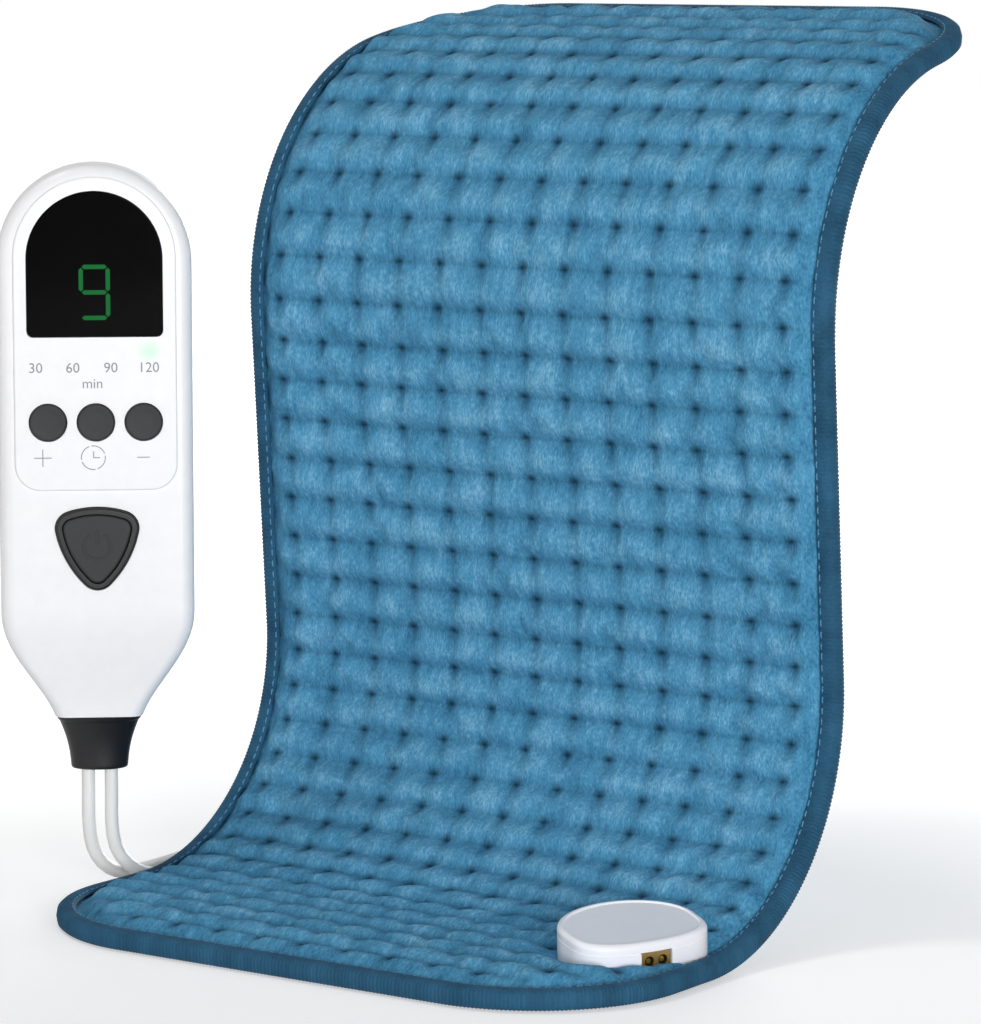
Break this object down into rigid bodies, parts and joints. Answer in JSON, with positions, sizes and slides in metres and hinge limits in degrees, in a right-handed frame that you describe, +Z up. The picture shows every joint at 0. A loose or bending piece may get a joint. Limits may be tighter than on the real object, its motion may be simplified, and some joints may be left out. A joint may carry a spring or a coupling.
{
  "type": "heating pad with controller",
  "caption": "Quilted heating pad propped in an S curve with a plug-in socket, beside an upright hand controller with a display, push buttons and coiled leads.",
  "frame": {"origin": "middle of the flat underside of the pad's front part, on the surface it rests on", "axes": "+Z up, -Y to the pad's front edge, +X to the right across the pad, seen from the front"},
  "size_m": [0.2855, 0.3285, 0.3081],
  "materials": {
    "plush_blue": "soft short-pile plush",
    "back_blue": "soft short-pile plush",
    "binding_blue": "sewn tape",
    "batting_white": "non-woven felt",
    "wire_red": "satin",
    "part_black": "matte",
    "socket_white": "satin",
    "insert_bronze": "satin",
    "plated_metal": "nickel plated",
    "steel": "zinc plated",
    "case_white": "satin moulded",
    "lens_black": "polished",
    "board_green": "solder mask",
    "led_green": "clear moulded",
    "button_grey": "matte moulded",
    "bezel_black": "satin moulded",
    "capacitor_tan": "moulded",
    "boot_black": "matte moulded",
    "cord_white": "satin"
  },
  "bodies": {
    "pad_and_controller": {"front_cover": "plush_blue", "batting": "batting_white", "heating_wire": "wire_red", "wire_carrier": "batting_white", "back_cover": "back_blue", "edge_binding": "binding_blue", "thermostat_1": "part_black", "thermostat_2": "part_black", "socket_shell": "socket_white", "socket_base": "socket_white", "socket_insert": "insert_bronze", "contact_pin_left": "plated_metal", "contact_pin_right": "plated_metal", "front_shell": "case_white", "back_shell": "case_white", "display_lens": "lens_black", "display_module": "part_black", "control_board": "board_green", "timer_led_30": "led_green", "timer_led_60": "led_green", "timer_led_90": "led_green", "timer_led_120": "led_green", "plus_switch": "steel", "timer_switch": "steel", "minus_switch": "steel", "power_bezel": "bezel_black", "power_switch": "steel", "microcontroller": "part_black", "triac": "part_black", "capacitor": "capacitor_tan", "fuse": "steel", "terminal_block": "board_green", "case_screw_1": "steel", "case_screw_2": "steel", "case_screw_3": "steel", "case_screw_4": "steel", "cord_boot": "boot_black", "mains_lead_run": "cord_white", "mains_lead_coil": "cord_white", "mains_lead_tail": "cord_white", "pad_lead_run": "cord_white", "pad_lead_coil": "cord_white", "pad_lead_tail": "cord_white", "mains_plug": "case_white", "mains_plug_blade_left": "plated_metal", "mains_plug_blade_right": "plated_metal", "pad_plug": "case_white", "pad_plug_sleeve_left": "plated_metal", "pad_plug_sleeve_right": "plated_metal"},
    "plus_key": {"plus_button": "button_grey", "plus_switch_plunger": "part_black"},
    "timer_key": {"timer_button": "button_grey", "timer_switch_plunger": "part_black"},
    "minus_key": {"minus_button": "button_grey", "minus_switch_plunger": "part_black"},
    "power_key": {"power_button": "button_grey", "power_switch_plunger": "part_black"}
  },
  "joints": [
    {"name": "plus_press", "type": "slide", "parent": "pad_and_controller", "child": "plus_key", "axis": [-0.6428, 0.766, 0], "range_m": [0, 0.0008], "stiffness_N_per_m": 2000},
    {"name": "timer_press", "type": "slide", "parent": "pad_and_controller", "child": "timer_key", "axis": [-0.6428, 0.766, 0], "range_m": [0, 0.0008], "stiffness_N_per_m": 2000},
    {"name": "minus_press", "type": "slide", "parent": "pad_and_controller", "child": "minus_key", "axis": [-0.6428, 0.766, 0], "range_m": [0, 0.0008], "stiffness_N_per_m": 2000},
    {"name": "power_press", "type": "slide", "parent": "pad_and_controller", "child": "power_key", "axis": [-0.6428, 0.766, 0], "range_m": [0, 0.0008], "stiffness_N_per_m": 2500}
  ]
}
